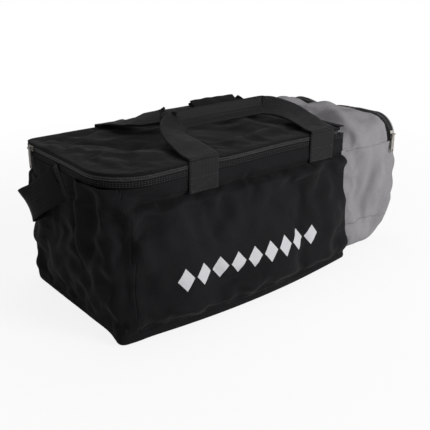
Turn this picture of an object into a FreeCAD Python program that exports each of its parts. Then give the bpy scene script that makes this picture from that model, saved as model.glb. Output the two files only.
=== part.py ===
import FreeCAD
import Part
import Sketcher
import math
import os
import re
from math import atan2, cos, radians, sin, sqrt

# A soft sports holdall with a black main compartment and a grey end pocket.
# X runs along its length towards the pocket, the front is at -Y, and the base stands on Z = 0.
# The origin is the centre of the base.

# Bag body, in millimetres
bag_length = 605
black_length = 470
base_half_width = 150
base_bulge = 18
base_corner_radius = 30
top_half_width = 134
front_corner_radius = 70
back_corner_radius = 20
rim_height = 15
seam_height = 200
band_height = 28
zip_rise = 14
lid_rise = 8
lid_crown = 8
lid_slope_width = 60
end_wrap = 25
fabric = 2
board_thickness = 3
board_gap = 4
clearance = 0.3

# Grey end pocket
pocket_half_width = 141
pocket_corner_radius = 45
pocket_toe_radius = 60
pocket_zip_setback = 20.5

# Zips
tape_thickness = 1.2
coil_thickness = 2.8
coil_width = 2.4
coil_gap = 1.6
pocket_tape_width = 9
stop_length = 3

# Lid hinge, the fabric strip that the lid folds on
hinge_strip_width = 9.5

# Sliders and pullers
slider_length = 15
slider_width = 9
slider_plate = 1.5
slider_play = 0.4
slider_corner = 1.2
lug_thickness = 1.5
lug_spacing = 6
pin_diameter = 1.6
barrel_diameter = 4.2
puller_width = 7
puller_thickness = 1.8
puller_length = 34
puller_hole = 4
puller_shoulder = 9
end_slider_setback = 30
back_slider_setback = 32.5
pocket_slider_angle = 14
pocket_slider_arc = 18

# Carrying handles
strap_width = 56
strap_thickness = 2.4
strap_standoff = 0.9
left_strap_place = -142
right_strap_place = 111
sewn_height = 26
tab_bevel = 3.2
handle_pivot_rise = 2
handle_reach = 118
handle_lean = 14
grip_width = 32
grip_thickness = 4.8
grip_turn = 45
arch_radius = 54
wrap_length = 96
wrap_place = 6
wrap_wall = 2
wrap_flap = 1.6

# End grab handle
grab_width = 56
grab_thickness = 2.4
grab_near_y = 14
grab_near_z = 206
grab_far_y = 86
grab_far_z = 160
grab_reach = 36
grab_droop = 12
grab_tab_length = 14

# The sheet takes every size above under its own name, and then the levels and places that follow from them
cells = {name: str(value) for name, value in vars().items() if isinstance(value, (int, float))}
cells["zip_height"] = "=seam_height + band_height + zip_rise"
cells["lid_edge_height"] = "=zip_height + lid_rise"
cells["handle_pivot_height"] = "=lid_edge_height + handle_pivot_rise"
cells["end_slider_place"] = "=top_half_width - end_slider_setback"
cells["back_slider_place"] = "=bag_length/2 - back_slider_setback"
Vector = FreeCAD.Vector
doc = FreeCAD.newDocument("holdall")
sheet = doc.addObject("Spreadsheet::Sheet", "sizes")
for row, (name, content) in enumerate(cells.items(), 1):
    sheet.set(f"A{row}", name)
    sheet.setAlias(f"B{row}", name)
    sheet.set(f"B{row}", content)
doc.recompute()
kept = []
name_pattern = re.compile(r"\b(" + "|".join(cells) + r")\b")

# Lines that other sizes share, as expressions of the sizes above
LEFT = "(-bag_length/2)"
RIGHT = "(bag_length/2)"
BOUNDARY = "(black_length - bag_length/2)"
LID_RIGHT = f"({BOUNDARY} - hinge_strip_width)"
BAND_TOP = "(seam_height + band_height)"
BODY_COIL_TOP = "(zip_height - coil_gap/2)"
BODY_COIL_LOW = f"({BODY_COIL_TOP} - coil_width)"
LID_COIL_LOW = "(zip_height + coil_gap/2)"
LID_COIL_TOP = f"({LID_COIL_LOW} + coil_width)"
LID_LOW = "(lid_edge_height - fabric)"
TAPE_INSET = "((fabric - tape_thickness)/2)"
COIL_INSET = "((fabric - coil_thickness)/2)"
SLEEVE_END = f"({RIGHT} - pocket_zip_setback)"
SLEEVE_COIL = f"({SLEEVE_END} + pocket_tape_width)"
POCKET_ZIP = f"({SLEEVE_COIL} + coil_width + coil_gap/2)"
FLAP_COIL = f"({POCKET_ZIP} + coil_gap/2)"
FLAP_TAPE = f"({FLAP_COIL} + coil_width)"
END_PLATE = f"({RIGHT} - fabric)"
FLAP_LOW = "(lid_edge_height - pocket_corner_radius)"
STRAP_Y = "(top_half_width + strap_standoff + strap_thickness/2)"
SLIDER_BORE = "(coil_thickness/2 + slider_play)"
SLIDER_FACE = f"({SLIDER_BORE} + slider_plate)"
PIN_RISE = f"({SLIDER_FACE} + barrel_diameter/2 + clearance)"
FAR = 400


def link(expression):
    return name_pattern.sub(r"sizes.\1", expression)


def number(expression):
    result = sheet.evalExpression(link(expression))
    return float(getattr(result, "Value", result))


def bind(target, **expressions):
    for path, expression in expressions.items():
        target.setExpression(path.replace("__", "."), link(expression))


def keep(target, label):
    target.Label = label
    kept.append(target)
    return target


def box(name, x_low, x_high, y_low, y_high, z_low, z_high):
    made = doc.addObject("Part::Box", name)
    bind(made, Length=f"{x_high} - ({x_low})", Width=f"{y_high} - ({y_low})", Height=f"{z_high} - ({z_low})")
    bind(made, Placement__Base__x=x_low, Placement__Base__y=y_low, Placement__Base__z=z_low)
    return made


def combine(kind, name, base, tool):
    made = doc.addObject(f"Part::{kind}", name)
    made.Base = base
    made.Tool = tool
    return made


def join(name, pieces):
    made = doc.addObject("Part::MultiFuse", name)
    made.Shapes = pieces
    return made


def part_of(name, base, *limits):
    return keep(combine("Common", name + "_cut", base, box(name + "_limits", *limits)), name)


def plane_of(body, role):
    return next(f for f in body.Origin.OriginFeatures if f.Role == role)


def sketch_on(body, name, role="XY_Plane", offset=None):
    sketch = body.newObject("Sketcher::SketchObject", name)
    sketch.AttachmentSupport = [(plane_of(body, role), "")]
    sketch.MapMode = "FlatFace"
    if offset:
        sketch.setExpression("AttachmentOffset.Base.z", link(offset))
    return sketch


def pad(body, sketch, length, midplane=False):
    made = body.newObject("PartDesign::Pad", sketch.Name + "_pad")
    made.Profile = sketch
    made.Midplane = midplane
    bind(made, Length=length)
    sketch.Visibility = False
    return made


# Draws one closed path of lines and anticlockwise arcs. Each step is (x, y, radius expression or None),
# and the arc or line runs from that corner to the next one.
def closed_path(sketch, steps):
    first = sketch.GeometryCount
    corners = [Vector(number(x), number(y), 0) for x, y, _ in steps]
    for here, (x, y, radius) in enumerate(steps):
        start = corners[here]
        end = corners[(here + 1) % len(steps)]
        if radius is None:
            sketch.addGeometry(Part.LineSegment(start, end))
            continue
        turn = 1 if not radius.startswith("clockwise ") else -1
        reach = number(radius.replace("clockwise ", ""))
        chord = end - start
        inward = Vector(-chord.y, chord.x, 0).normalize() * turn
        centre = (start + end) / 2 + inward * sqrt(max(reach**2 - chord.Length**2 / 4, 0))
        one, two = (start, end) if turn > 0 else (end, start)
        low = atan2(one.y - centre.y, one.x - centre.x)
        high = atan2(two.y - centre.y, two.x - centre.x)
        circle = Part.Circle(centre, Vector(0, 0, 1), reach)
        sketch.addGeometry(Part.ArcOfCircle(circle, low, high if high > low else high + 2 * math.pi))
    for here, (x, y, radius) in enumerate(steps):
        turned = bool(radius) and radius.startswith("clockwise ")
        following = steps[(here + 1) % len(steps)][2]
        next_turned = bool(following) and following.startswith("clockwise ")
        one = first + here
        two = first + (here + 1) % len(steps)
        meet = (one, 1 if turned else 2, two, 2 if next_turned else 1)
        sketch.addConstraint(Sketcher.Constraint("Coincident", *meet))
        for kind, expression in (("DistanceX", x), ("DistanceY", y)):
            place = Sketcher.Constraint(kind, one, 2 if turned else 1, number(expression))
            index = sketch.addConstraint(place)
            sketch.setExpression(f"Constraints[{index}]", link(expression))
        if radius:
            plain = radius.replace("clockwise ", "")
            index = sketch.addConstraint(Sketcher.Constraint("Radius", one, number(plain)))
            sketch.setExpression(f"Constraints[{index}]", link(plain))


# The plan of the bag at one height: straight or bulged long sides, a left end with two round corners,
# open or closed at the right. The steps run anticlockwise from the back right corner.
def plan_steps(right, inset, left_half, right_half, back_radius, front_radius, bulge):
    x_left = f"({LEFT} + {inset})"
    back_side = f"(({left_half}) - {inset})"
    pull = f"(({right_half}) - {inset})"
    side = None
    if bulge:
        run = f"({right} - {LEFT} - {back_radius})"
        chord = f"({run}^2 + ({left_half} - {right_half})^2)"
        side = f"({chord}/(8*{bulge}) + {bulge}/2)"
    return [
        (right, pull, side),
        (f"{LEFT} + {back_radius}", back_side, f"{back_radius} - {inset}"),
        (x_left, f"{left_half} - {back_radius}", None),
        (x_left, f"{front_radius} - {left_half}", f"{front_radius} - {inset}"),
        (f"{LEFT} + {front_radius}", f"-{back_side}", side),
        (right, f"-{pull}", None),
    ]


# The same plan drawn as a wall: out along one face and back along the other
def wall_steps(right, inset, thickness, *shape):
    outer = plan_steps(right, inset, *shape)
    inner = plan_steps(right, f"({inset} + {thickness})", *shape)
    back = []
    for here in range(5, 0, -1):
        x, y, _ = inner[here]
        radius = inner[here - 1][2]
        back.append((x, y, "clockwise " + radius if radius else None))
    x, y, _ = inner[0]
    return outer + back + [(x, y, None)]


BASE_SHAPE = (
    "base_half_width", "pocket_half_width", "base_corner_radius", "base_corner_radius", "base_bulge")
TOP_SHAPE = ("top_half_width", "top_half_width", "back_corner_radius", "front_corner_radius", None)


# A wall that stands straight up, such as the band, a tape or a row of zip teeth
def upright_wall(name, right, inset, thickness, low, high):
    body = doc.addObject("PartDesign::Body", name)
    sketch = sketch_on(body, name + "_plan", offset=low)
    closed_path(sketch, wall_steps(right, inset, thickness, *TOP_SHAPE))
    pad(body, sketch, f"{high} - ({low})")
    return body


# Main compartment: the lower wall leans in from the bulged base to the straight top seam
lower_wall = doc.addObject("PartDesign::Body", "lower_wall")
lower_plan = sketch_on(lower_wall, "lower_wall_base")
closed_path(lower_plan, wall_steps(BOUNDARY, "0", "fabric", *BASE_SHAPE))
upper_plan = sketch_on(lower_wall, "lower_wall_top", offset="seam_height")
closed_path(upper_plan, wall_steps(BOUNDARY, "0", "fabric", *TOP_SHAPE))
doc.recompute()
wall_loft = lower_wall.newObject("PartDesign::AdditiveLoft", "lower_wall_loft")
wall_loft.Profile = lower_plan
wall_loft.Sections = [upper_plan]
wall_loft.Ruled = True

band = upright_wall("band", BOUNDARY, "0", "fabric", "seam_height", BAND_TOP)
SIDE_LEFT = f"({LEFT} + end_wrap)"

base_plate = doc.addObject("PartDesign::Body", "base_plate")
base_plan = sketch_on(base_plate, "base_plate_plan")
closed_path(base_plan, plan_steps(BOUNDARY, "fabric", *BASE_SHAPE))
pad(base_plate, base_plan, "fabric")
rim_limits = box("rim_limits", f"-{FAR}", f"{FAR}", f"-{FAR}", f"{FAR}", "0", "rim_height")
base_rim = combine("Common", "base_rim", lower_wall, rim_limits)
keep(join("base_fabric", [base_plate, base_rim]), "base_panel")

board = doc.addObject("PartDesign::Body", "board")
board_plan = sketch_on(board, "board_plan", offset="fabric")
closed_path(board_plan, plan_steps(f"({BOUNDARY} - board_gap)", "(fabric + board_gap)", *BASE_SHAPE))
pad(board, board_plan, "board_thickness")
keep(board, "base_board")

part_of("front_panel", lower_wall, SIDE_LEFT, BOUNDARY, f"-{FAR}", "0", "rim_height", "seam_height")
part_of("back_panel", lower_wall, SIDE_LEFT, BOUNDARY, "0", f"{FAR}", "rim_height", "seam_height")
part_of("front_zip_band", band, SIDE_LEFT, BOUNDARY, f"-{FAR}", "0", "seam_height", BAND_TOP)
part_of("back_zip_band", band, SIDE_LEFT, BOUNDARY, "0", f"{FAR}", "seam_height", BAND_TOP)
end_limits = box("end_limits", f"-{FAR}", SIDE_LEFT, f"-{FAR}", f"{FAR}", "rim_height", BAND_TOP)
whole_wall = join("whole_wall", [lower_wall, band])
keep(combine("Common", "end_wall", whole_wall, end_limits), "end_panel")

# Body half of the main zip, its two end stops, and the strip that the lid folds on
tape_wall = upright_wall("body_tape", BOUNDARY, TAPE_INSET, "tape_thickness", BAND_TOP, BODY_COIL_LOW)
keep(tape_wall, "body_zip_tape")
coil_wall = upright_wall(
    "body_coil", LID_RIGHT, COIL_INSET, "coil_thickness", BODY_COIL_LOW, BODY_COIL_TOP)
keep(coil_wall, "body_zip_coil")
stops = []
for side in (-1, 1):
    middle = f"{side}*(top_half_width - fabric/2)"
    stops.append(box(
        f"stop_{side + 1}", f"{LID_RIGHT} + clearance", f"{LID_RIGHT} + clearance + stop_length",
        f"{middle} - coil_thickness/2", f"{middle} + coil_thickness/2", BODY_COIL_LOW, BODY_COIL_TOP))
keep(join("both_stops", stops), "body_zip_stops")
hinge_strip = box(
    "hinge_strip", f"{LID_RIGHT} + clearance", BOUNDARY,
    "-top_half_width", "top_half_width", LID_LOW, "lid_edge_height")
keep(hinge_strip, "lid_hinge_strip")

# Lid: a shallow crowned sheet with the other half of the zip under its edge
def lid_level(name, height, inset):
    level = sketch_on(lid, name, offset=height)
    half = f"(top_half_width - {inset})"
    right = f"({LID_RIGHT} - {inset})"
    steps = plan_steps(right, "0", half, half, "back_corner_radius", "front_corner_radius", None)
    closed_path(level, [(x.replace(LEFT, f"({LEFT} + {inset})"), y, radius) for x, y, radius in steps])
    return level


def loft(body, kind, name, lower, upper):
    made = body.newObject(f"PartDesign::{kind}", name)
    made.Profile = lower
    made.Sections = [upper]
    made.Ruled = True
    return made


lid = doc.addObject("PartDesign::Body", "lid")
edge_plan = lid_level("lid_edge_plan", LID_LOW, "0")
pad(lid, edge_plan, "fabric")
outer_low = lid_level("lid_outer_low", "lid_edge_height", "0")
outer_high = lid_level("lid_outer_high", "(lid_edge_height + lid_crown)", "lid_slope_width")
inner_low = lid_level("lid_inner_low", LID_LOW, "fabric")
inner_high = lid_level("lid_inner_high", f"({LID_LOW} + lid_crown)", "lid_slope_width")
doc.recompute()
loft(lid, "AdditiveLoft", "lid_outer", outer_low, outer_high)
doc.recompute()
loft(lid, "SubtractiveLoft", "lid_inner", inner_low, inner_high)
keep(lid, "lid_panel")
keep(upright_wall("lid_tape", LID_RIGHT, TAPE_INSET, "tape_thickness", LID_COIL_TOP, LID_LOW), "lid_zip_tape")
lid_row = upright_wall("lid_coil", LID_RIGHT, COIL_INSET, "coil_thickness", LID_COIL_LOW, LID_COIL_TOP)
keep(lid_row, "lid_zip_coil")


# Pocket: a tube with round corners along X whose toe is rounded off towards the floor
def pocket_tube(name, inset):
    body = doc.addObject("PartDesign::Body", name)
    sketch = sketch_on(body, name + "_section", "YZ_Plane", BOUNDARY)
    half = f"(pocket_half_width - {inset})"
    low = inset
    high = f"(lid_edge_height - {inset})"
    turn = f"pocket_corner_radius - {inset}"
    start = "pocket_corner_radius"
    closed_path(sketch, [
        (half, start, None), (half, f"lid_edge_height - {start}", turn),
        (f"pocket_half_width - {start}", high, None), (f"{start} - pocket_half_width", high, turn),
        (f"-{half}", f"lid_edge_height - {start}", None), (f"-{half}", start, turn),
        (f"{start} - pocket_half_width", low, None), (f"pocket_half_width - {start}", low, turn),
    ])
    pad(body, sketch, f"{RIGHT} - {BOUNDARY}")
    return body


def pocket_side(name, inset):
    body = doc.addObject("PartDesign::Body", name)
    sketch = sketch_on(body, name + "_outline", "XZ_Plane")
    left = f"({BOUNDARY} - {inset})"
    right = f"({RIGHT} - {inset})"
    high = f"(lid_edge_height - {inset})"
    closed_path(sketch, [
        (left, inset, None), (f"{RIGHT} - pocket_toe_radius", inset, f"pocket_toe_radius - {inset}"),
        (right, "pocket_toe_radius", None), (right, high, None), (left, high, None),
    ])
    pad(body, sketch, f"{FAR}*2", midplane=True)
    return body


def pocket_wall(name, inset, thickness):
    tube = pocket_tube(name + "_tube", inset)
    outer = combine("Common", name + "_outer", tube, pocket_side(name + "_side", inset))
    inset = f"({inset} + {thickness})"
    bore = pocket_tube(name + "_bore", inset)
    inner = combine("Common", name + "_inner", bore, pocket_side(name + "_hollow", inset))
    return combine("Cut", name, outer, inner)


shell = pocket_wall("pocket_shell", "0", "fabric")
teeth = pocket_wall("pocket_teeth", COIL_INSET, "coil_thickness")
WIDE = (f"-{FAR}", f"{FAR}")
TOE = "pocket_toe_radius"
ABOVE = ("lid_edge_height + fabric",)
FLAP_FROM = f"({FLAP_LOW} + clearance)"
part_of("pocket_base_panel", shell, BOUNDARY, RIGHT, *WIDE, "-fabric", TOE)
part_of("pocket_front_panel", shell, BOUNDARY, END_PLATE, f"-{FAR}", "0", TOE, FLAP_LOW)
part_of("pocket_back_panel", shell, BOUNDARY, END_PLATE, "0", f"{FAR}", TOE, FLAP_LOW)
part_of("pocket_end_panel", shell, END_PLATE, RIGHT, *WIDE, TOE, FLAP_LOW)
part_of("pocket_top_panel", shell, BOUNDARY, SLEEVE_END, *WIDE, FLAP_LOW, *ABOVE)
part_of("pocket_zip_tape", shell, SLEEVE_END, SLEEVE_COIL, *WIDE, FLAP_LOW, *ABOVE)
part_of("pocket_zip_coil", teeth, SLEEVE_COIL, f"{SLEEVE_COIL} + coil_width", *WIDE, FLAP_LOW, *ABOVE)
part_of("flap_zip_coil", teeth, FLAP_COIL, FLAP_TAPE, *WIDE, FLAP_FROM, *ABOVE)
part_of("flap_zip_tape", shell, FLAP_TAPE, END_PLATE, *WIDE, FLAP_FROM, *ABOVE)
part_of("pocket_flap_panel", shell, END_PLATE, RIGHT, *WIDE, FLAP_FROM, *ABOVE)

# Inner divider between the main compartment and the pocket
divider = doc.addObject("PartDesign::Body", "divider")
divider_plan = sketch_on(divider, "divider_plan", "YZ_Plane", f"{BOUNDARY} - fabric")
DIVIDER_TOP = "(top_half_width - fabric - clearance)"
DIVIDER_LOW = "(fabric + board_thickness + clearance)"
DIVIDER_FOOT = "(pocket_half_width - fabric - board_gap/2)"
closed_path(divider_plan, [
    (DIVIDER_FOOT, DIVIDER_LOW, None), (DIVIDER_TOP, "seam_height", None), (DIVIDER_TOP, BODY_COIL_LOW, None),
    (f"-{DIVIDER_TOP}", BODY_COIL_LOW, None), (f"-{DIVIDER_TOP}", "seam_height", None),
    (f"-{DIVIDER_FOOT}", DIVIDER_LOW, None),
])
pad(divider, divider_plan, "fabric")
keep(divider, "divider_panel")


# Slider section, across the zip and outwards: two plates joined by a post that runs between the rows of
# teeth, with lips round the row on its own side, so that the other row can lift out. The inner plate may
# reach less far over the other row.
def slider_steps(middle, inner_reach):
    half = "slider_width/2"
    post = "(coil_gap/2 - clearance)"
    lip = "(coil_gap/2 + coil_width + clearance)"
    mouth = "(fabric/2 + clearance)"
    corners = [
        (f"-{half}", SLIDER_FACE), (f"-{half}", mouth), (f"-{lip}", mouth), (f"-{lip}", SLIDER_BORE),
        (f"-{post}", SLIDER_BORE), (f"-{post}", f"-{SLIDER_BORE}"), (f"-{lip}", f"-{SLIDER_BORE}"),
        (f"-{lip}", f"-{mouth}"), (f"-{half}", f"-{mouth}"), (f"-{half}", f"-{SLIDER_FACE}"),
        (inner_reach, f"-{SLIDER_FACE}"), (inner_reach, f"-{SLIDER_BORE}"), (post, f"-{SLIDER_BORE}"),
        (post, SLIDER_BORE), (half, SLIDER_BORE), (half, SLIDER_FACE),
    ]
    return [(x, f"{middle} + {y}", None) for x, y in corners]


# Two lugs and the pin that the puller hangs on. They stand on the outer plate, and the pin lies across
# the sketch.
def add_lugs(body, role, low, rise, turned):
    half = "pin_diameter"
    block = sketch_on(body, body.Name + "_lug_block", role)
    outline = [(f"-{half}", low), (half, low), (half, f"{rise} + {half}"), (f"-{half}", f"{rise} + {half}")]
    closed_path(block, [(y, x, None) if turned else (x, y, None) for x, y in outline])
    pad(body, block, "lug_spacing + 2*lug_thickness", midplane=True)
    doc.recompute()
    gap = sketch_on(body, body.Name + "_lug_gap", role)
    foot = f"({rise} - barrel_diameter/2 - clearance)"
    over = f"{rise} + 2*{half}"
    outline = [(f"-2*{half}", foot), (f"2*{half}", foot), (f"2*{half}", over), (f"-2*{half}", over)]
    closed_path(gap, [(y, x, None) if turned else (x, y, None) for x, y in outline])
    cut = body.newObject("PartDesign::Pocket", body.Name + "_lug_cut")
    cut.Profile = gap
    cut.Midplane = True
    bind(cut, Length="lug_spacing")
    doc.recompute()
    pin = sketch_on(body, body.Name + "_pin", role)
    at = Vector(number(rise), 0, 0) if turned else Vector(0, number(rise), 0)
    pin.addGeometry(Part.Circle(at, Vector(0, 0, 1), number("pin_diameter/2")))
    place = ("0*fabric", rise)
    for kind, expression in zip(("DistanceX", "DistanceY"), reversed(place) if turned else place):
        index = pin.addConstraint(Sketcher.Constraint(kind, 0, 3, number(expression)))
        pin.setExpression(f"Constraints[{index}]", link(expression))
    index = pin.addConstraint(Sketcher.Constraint("Diameter", 0, number("pin_diameter")))
    pin.setExpression(f"Constraints[{index}]", link("pin_diameter"))
    pad(body, pin, "lug_spacing + lug_thickness", midplane=True)


def main_slider(name, across, outward, **place):
    body = doc.addObject("PartDesign::Body", name)
    section = sketch_on(body, name + "_section")
    closed_path(section, slider_steps("0", "slider_width/2"))
    block = pad(body, section, "slider_length", midplane=True)
    doc.recompute()
    corners = []
    for index, edge in enumerate(block.Shape.Edges):
        box_of = edge.BoundBox
        upright = box_of.XLength < 0.01 and box_of.ZLength < 0.01
        at_side = abs(abs(box_of.XMin) - number("slider_width/2")) < 0.01
        if upright and at_side and box_of.YLength < number("2*slider_plate"):
            corners.append(f"Edge{index + 1}")
    rounded = body.newObject("PartDesign::Fillet", name + "_corners")
    rounded.Base = (block, corners)
    bind(rounded, Radius="slider_corner")
    doc.recompute()
    add_lugs(body, "XY_Plane", f"{SLIDER_BORE} + slider_plate/2", PIN_RISE, False)
    turn = FreeCAD.Rotation(across, outward, across.cross(outward), "XYZ")
    body.Placement = FreeCAD.Placement(Vector(), turn)
    bind(body, **place)
    return keep(body, name)


UP = Vector(0, 0, 1)
END_WALL = f"({LEFT} + fabric/2)"
BACK_WALL = "(top_half_width - fabric/2)"
main_slider(
    "end_slider", UP, Vector(-1, 0, 0),
    Placement__Base__x=END_WALL, Placement__Base__y="end_slider_place", Placement__Base__z="zip_height")
main_slider(
    "back_slider", UP, Vector(0, 1, 0),
    Placement__Base__x="-back_slider_place", Placement__Base__y=BACK_WALL, Placement__Base__z="zip_height")

# Pocket slider: the same section turned about the round corner that it runs over. Its inner plate stops
# short of the pocket's own row, so that it can turn out with the flap.
pocket_slider = doc.addObject("PartDesign::Body", "pocket_slider_body")
section = sketch_on(pocket_slider, "pocket_slider_section")
ARC = "(pocket_corner_radius - fabric/2)"
closed_path(section, slider_steps(ARC, "coil_gap/2"))
turned = pocket_slider.newObject("PartDesign::Revolution", "pocket_slider_turn")
turned.Profile = section
turned.ReferenceAxis = (section, ["H_Axis"])
turned.Midplane = True
bind(turned, Angle="pocket_slider_arc")
doc.recompute()
add_lugs(pocket_slider, "YZ_Plane", f"{ARC} + {SLIDER_BORE} + slider_plate/2", f"({ARC} + {PIN_RISE})", True)
tilt = radians(number("pocket_slider_angle"))
radial = Vector(0, -cos(tilt), sin(tilt))
across = Vector(-1, 0, 0)
pocket_slider.Placement = FreeCAD.Placement(
    Vector(), FreeCAD.Rotation(across, radial, across.cross(radial), "XYZ"))
bind(pocket_slider, Placement__Base__x=POCKET_ZIP, Placement__Base__z=FLAP_LOW)
bind(pocket_slider, Placement__Base__y="pocket_corner_radius - pocket_half_width")
keep(pocket_slider, "pocket_slider")


# Puller: a flat tab with a hole near its round end, hung from a barrel on the slider's pin
def puller(name, turn, **place):
    body = doc.addObject("PartDesign::Body", name)
    barrel = sketch_on(body, name + "_barrel", "YZ_Plane")
    for diameter in ("barrel_diameter", "(pin_diameter + 2*clearance)"):
        index = barrel.addGeometry(Part.Circle(Vector(), Vector(0, 0, 1), number(diameter) / 2))
        barrel.addConstraint(Sketcher.Constraint("Coincident", index, 3, -1, 1))
        rule = barrel.addConstraint(Sketcher.Constraint("Diameter", index, number(diameter)))
        barrel.setExpression(f"Constraints[{rule}]", link(diameter))
    pad(body, barrel, "lug_spacing - 2*clearance", midplane=True)
    doc.recompute()
    tab = sketch_on(body, name + "_tab", "XZ_Plane")
    neck = "(lug_spacing/2 - clearance)"
    half = "(puller_width/2)"
    top = "-(barrel_diameter + pin_diameter + 2*clearance)/4"
    end = f"({half} - puller_length)"
    closed_path(tab, [
        (neck, top, None), (f"-{neck}", top, None), (f"-{half}", "-puller_shoulder", None),
        (f"-{half}", end, half), ("0*fabric", "-puller_length", half), (half, end, None),
        (half, "-puller_shoulder", None),
    ])
    pad(body, tab, "puller_thickness", midplane=True)
    doc.recompute()
    eye = sketch_on(body, name + "_eye", "XZ_Plane")
    eye.addGeometry(Part.Circle(Vector(0, number(end), 0), Vector(0, 0, 1), number("puller_hole/2")))
    eye.addConstraint(Sketcher.Constraint("PointOnObject", 0, 3, -2))
    for kind, expression, spot in (("DistanceY", end, (0, 3)), ("Diameter", "puller_hole", (0,))):
        rule = eye.addConstraint(Sketcher.Constraint(kind, *spot, number(expression)))
        eye.setExpression(f"Constraints[{rule}]", link(expression))
    hole = body.newObject("PartDesign::Pocket", name + "_hole")
    hole.Profile = eye
    hole.Midplane = True
    bind(hole, Length="2*puller_thickness")
    body.Placement = FreeCAD.Placement(Vector(), FreeCAD.Rotation(UP, turn))
    bind(body, **place)
    return keep(body, name)


puller(
    "end_puller", 90, Placement__Base__x=f"{END_WALL} - {PIN_RISE}",
    Placement__Base__y="end_slider_place", Placement__Base__z="zip_height")
puller(
    "back_puller", 0, Placement__Base__x="-back_slider_place",
    Placement__Base__y=f"{BACK_WALL} + {PIN_RISE}", Placement__Base__z="zip_height")
PIN_REACH = f"({ARC} + {PIN_RISE})"
PIN_Y = f"pocket_corner_radius - pocket_half_width - {PIN_REACH}*cos(pocket_slider_angle*1deg)"
puller(
    "pocket_puller", 0, Placement__Base__x=POCKET_ZIP,
    Placement__Base__y=PIN_Y,
    Placement__Base__z=f"{FLAP_LOW} + {PIN_REACH}*sin(pocket_slider_angle*1deg)")


# Handle tabs: the sewn ends of the carrying straps, doubled over on the band and standing clear of the
# zip above. The top is bevelled, so that the loop can fold down outside.
STRAP_LOW = "(seam_height + clearance)"
TAB_TOP = "(handle_pivot_height - strap_thickness/2 - clearance)"
OUTER = "(strap_standoff + strap_thickness)"


def handle_tab(name, side, place):
    body = doc.addObject("PartDesign::Body", name)
    section = sketch_on(body, name + "_section", "YZ_Plane")
    corners = [
        (f"{side}*(top_half_width + {OUTER})", STRAP_LOW),
        (f"{side}*(top_half_width + {OUTER})", f"{TAB_TOP} - tab_bevel"),
        (f"{side}*(top_half_width + strap_standoff)", TAB_TOP),
        (f"{side}*(top_half_width + strap_standoff)", f"{STRAP_LOW} + sewn_height"),
        (f"{side}*top_half_width", f"{STRAP_LOW} + sewn_height"), (f"{side}*top_half_width", STRAP_LOW),
    ]
    closed_path(section, [(y, z, None) for y, z in corners])
    pad(body, section, "strap_width", midplane=True)
    bind(body, Placement__Base__x=place)
    return keep(body, name)


# Strap: a ribbon through flat sections that taper and turn from the wide sewn ends to the narrow folded
# grip. The loop lies in a plane that leans over the lid. Its steps give the distance along X, the distance
# up the plane, the heading from straight up the plane, and how far the strap has turned from wide end (0)
# to grip (1).
def strap_steps(left, right, reach, bend):
    steps = [(left, 0, 0, 0), (left, (reach - bend) / 2, 0, 0), (left, reach - bend, 0, 0.15)]
    for quarter in range(1, 5):
        angle = quarter * 22.5
        across = bend * (1 - cos(radians(angle)))
        along = reach - bend + bend * sin(radians(angle))
        steps.append((left + across, along, angle, 0.15 + 0.85 * quarter / 4))
    returned = [(left + right - x, along, 180 - angle, turn) for x, along, angle, turn in reversed(steps)]
    return steps + returned


def strap_solid(side, turn_sign):
    lean = radians(number("handle_lean"))
    out = Vector(0, side, 0)
    up_plane = Vector(0, -side * cos(lean), sin(lean))
    normal = Vector(0, side * sin(lean), cos(lean))
    root = out * number(STRAP_Y) + Vector(0, 0, number("handle_pivot_height"))
    wide = number("strap_width")
    thin = number("strap_thickness")
    wires = []
    places = [number(name) for name in ("left_strap_place", "right_strap_place")]
    loop = strap_steps(*places, number("handle_reach"), number("arch_radius"))
    for x, along, heading, turn in loop:
        heading = radians(heading)
        middle = root + Vector(x, 0, 0) + up_plane * along
        flat = Vector(1, 0, 0) * cos(heading) - up_plane * sin(heading)
        twist = radians(number("grip_turn")) * turn * turn_sign
        across = flat * cos(twist) + normal * sin(twist)
        through = normal * cos(twist) - flat * sin(twist)
        half = across * (wide + (number("grip_width") - wide) * turn) / 2
        deep = through * (thin + (number("grip_thickness") - thin) * turn) / 2
        corners = [middle + half + deep, middle - half + deep, middle - half - deep, middle + half - deep]
        wires.append(Part.makePolygon(corners + corners[:1]))
    return Part.makeLoft(wires, True, True)


# A round bead along the fold where a strap swings on its tab
def strap_bead(name, side, place):
    bead = doc.addObject("Part::Cylinder", name)
    bind(bead, Radius="strap_thickness/2", Height="strap_width")
    bead.Placement = FreeCAD.Placement(Vector(), FreeCAD.Rotation(Vector(0, 1, 0), 90))
    bind(bead, Placement__Base__x=f"{place} - strap_width/2", Placement__Base__y=f"{side}*{STRAP_Y}")
    bind(bead, Placement__Base__z="handle_pivot_height")
    return bead


def carrying_handle(name, side, turn_sign):
    places = (("left", "left_strap_place"), ("right", "right_strap_place"))
    pieces = []
    for end, place in places:
        handle_tab(f"{name}_tab_{end}", side, place)
        pieces.append(strap_bead(f"{name}_bead_{end}", side, place))
    ribbon = doc.addObject("Part::Feature", name + "_ribbon")
    ribbon.Shape = strap_solid(side, turn_sign)
    return keep(join(name + "_loop", [ribbon] + pieces), name + "_strap")


carrying_handle("front_handle", -1, -1)
carrying_handle("back_handle", 1, 1)

# Grip wrap round the back handle: a sleeve, and the flap that closes over its upper face with hook and loop.
# Both are drawn across the grip and turned with it.
WRAP_TURN = "(grip_turn - handle_lean)"
GRIP_Y = f"({STRAP_Y} - handle_reach*cos(handle_lean*1deg))"
GRIP_Z = "(handle_pivot_height + handle_reach*sin(handle_lean*1deg))"
BORE_HALF_WIDTH = "(grip_width/2 + clearance)"
BORE_HALF_HEIGHT = "(grip_thickness/2 + clearance)"
SLEEVE_HALF_WIDTH = f"({BORE_HALF_WIDTH} + wrap_wall)"
SLEEVE_HALF_HEIGHT = f"({BORE_HALF_HEIGHT} + wrap_wall)"


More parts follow.
